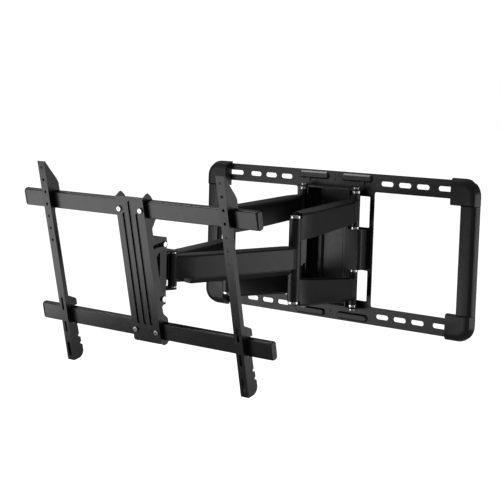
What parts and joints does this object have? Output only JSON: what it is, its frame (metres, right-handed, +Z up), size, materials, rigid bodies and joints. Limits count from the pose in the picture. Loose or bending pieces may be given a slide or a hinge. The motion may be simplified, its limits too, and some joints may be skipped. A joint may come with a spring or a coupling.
{
  "type": "full motion tv wall mount",
  "caption": "Black steel wall mount with two pairs of folding arms, a swivelling and tilting head, and two hooked uprights that slide on cross rails.",
  "frame": {"origin": "centre of the wall plate's back face, which lies flat on the wall", "axes": "+X along the wall to the right as seen from the room, +Y into the wall, +Z up; the arms reach out along -Y"},
  "size_m": [0.824, 0.7722, 0.4555],
  "materials": {
    "cable_cover_plastic": "matte black plastic",
    "bright_hardware": "bright zinc plating",
    "forearm_steel": "satin black powder coat",
    "pivot_bracket_steel": "satin black powder coat",
    "cover_plastic": "smooth satin black plastic",
    "bracket_steel": "satin black powder coat",
    "end_cap_plastic": "matte black plastic",
    "screw_steel": "bright zinc plating",
    "arm_steel": "satin black powder coat",
    "rail_steel": "satin black powder coat",
    "head_steel": "satin black powder coat",
    "knob_plastic": "matte black plastic",
    "tv_plate_steel": "satin black powder coat",
    "wall_plate_steel": "satin black powder coat"
  },
  "bodies": {
    "wall_unit": {"wall_plate": "wall_plate_steel", "left_pivot_bracket": "pivot_bracket_steel", "right_pivot_bracket": "pivot_bracket_steel", "left_side_cover": "cover_plastic", "right_side_cover": "cover_plastic", "upper_left_corner_cover": "cover_plastic", "upper_left_shoulder_pin": "bright_hardware", "upper_left_outer_bushing": "bright_hardware", "upper_left_inner_bushing": "bright_hardware", "upper_right_corner_cover": "cover_plastic", "upper_right_shoulder_pin": "bright_hardware", "upper_right_outer_bushing": "bright_hardware", "upper_right_inner_bushing": "bright_hardware", "lower_left_corner_cover": "cover_plastic", "lower_left_shoulder_pin": "bright_hardware", "lower_left_outer_bushing": "bright_hardware", "lower_left_inner_bushing": "bright_hardware", "lower_right_corner_cover": "cover_plastic", "lower_right_shoulder_pin": "bright_hardware", "lower_right_outer_bushing": "bright_hardware", "lower_right_inner_bushing": "bright_hardware"},
    "left_rear_arms": {"upper_left_rear_arm": "arm_steel", "lower_left_rear_arm": "arm_steel", "left_elbow_shaft": "bright_hardware", "upper_left_elbow_washer": "bright_hardware", "lower_left_elbow_washer": "bright_hardware"},
    "right_rear_arms": {"upper_right_rear_arm": "arm_steel", "lower_right_rear_arm": "arm_steel", "right_elbow_shaft": "bright_hardware", "upper_right_elbow_washer": "bright_hardware", "lower_right_elbow_washer": "bright_hardware"},
    "left_forearm": {"left_forearm": "forearm_steel", "left_cable_cover": "cable_cover_plastic"},
    "right_forearm": {"right_forearm": "forearm_steel", "right_cable_cover": "cable_cover_plastic"},
    "hub": {"swivel_hub": "head_steel", "left_head_pin": "bright_hardware", "right_head_pin": "bright_hardware", "swivel_pin": "bright_hardware"},
    "yoke": {"tilt_yoke": "head_steel", "tilt_pivot_bolt": "bright_hardware", "tilt_lock_bolt": "bright_hardware"},
    "tilt_knob": {"tilt_knob": "knob_plastic"},
    "tv_frame": {"tv_plate": "tv_plate_steel", "upper_rail": "rail_steel", "lower_rail": "rail_steel", "upper_left_end_cap": "end_cap_plastic", "upper_right_end_cap": "end_cap_plastic", "lower_left_end_cap": "end_cap_plastic", "lower_right_end_cap": "end_cap_plastic", "upper_left_plate_screw": "screw_steel", "upper_right_plate_screw": "screw_steel", "lower_left_plate_screw": "screw_steel", "lower_right_plate_screw": "screw_steel"},
    "left_bracket": {"left_tv_bracket": "bracket_steel", "left_lock_screw": "bright_hardware"},
    "right_bracket": {"right_tv_bracket": "bracket_steel", "right_lock_screw": "bright_hardware"}
  },
  "joints": [
    {"name": "left_shoulder", "type": "hinge", "parent": "wall_unit", "child": "left_rear_arms", "pos_m": [-0.08, -0.026, 0], "axis": [0, 0, -1], "range_deg": [-6, 60]},
    {"name": "left_elbow", "type": "hinge", "parent": "left_rear_arms", "child": "left_forearm", "pos_m": [-0.098, -0.30041, 0], "axis": [0, 0, 1], "range_deg": [-11.3, 112]},
    {"name": "hub_pivot", "type": "hinge", "parent": "left_forearm", "child": "hub", "pos_m": [-0.015, -0.63012, 0], "axis": [0, 0, -1], "range_deg": [-5.3, 52]},
    {"name": "right_shoulder", "type": "hinge", "parent": "wall_unit", "child": "right_rear_arms", "pos_m": [0.08, -0.026, 0], "axis": [0, 0, 1], "range_deg": [-6, 60]},
    {"name": "right_elbow", "type": "hinge", "parent": "right_rear_arms", "child": "right_forearm", "pos_m": [0.098, -0.30041, 0], "axis": [0, 0, -1], "range_deg": [-11.3, 112]},
    {"name": "head_swivel", "type": "hinge", "parent": "hub", "child": "yoke", "pos_m": [0, -0.65512, 0], "axis": [0, 0, 1], "range_deg": [-25, 25]},
    {"name": "head_tilt", "type": "hinge", "parent": "yoke", "child": "tv_frame", "pos_m": [0, -0.68512, -0.055], "axis": [1, 0, 0], "range_deg": [-14, 1]},
    {"name": "knob_turn", "type": "hinge", "parent": "yoke", "child": "tilt_knob", "pos_m": [-0.066, -0.68512, 0.062], "axis": [1, 0, 0], "continuous": true},
    {"name": "left_bracket_slide", "type": "slide", "parent": "tv_frame", "child": "left_bracket", "axis": [1, 0, 0], "range_m": [-0.06, 0.16]},
    {"name": "right_bracket_slide", "type": "slide", "parent": "tv_frame", "child": "right_bracket", "axis": [1, 0, 0], "range_m": [-0.17, 0.05]}
  ],
  "couplings": [
    {"joint": "left_elbow", "follows": "left_shoulder", "ratio": 1.863},
    {"joint": "hub_pivot", "follows": "left_shoulder", "ratio": 0.863},
    {"joint": "right_shoulder", "follows": "left_shoulder", "ratio": 1},
    {"joint": "right_elbow", "follows": "left_shoulder", "ratio": 1.863}
  ]
}
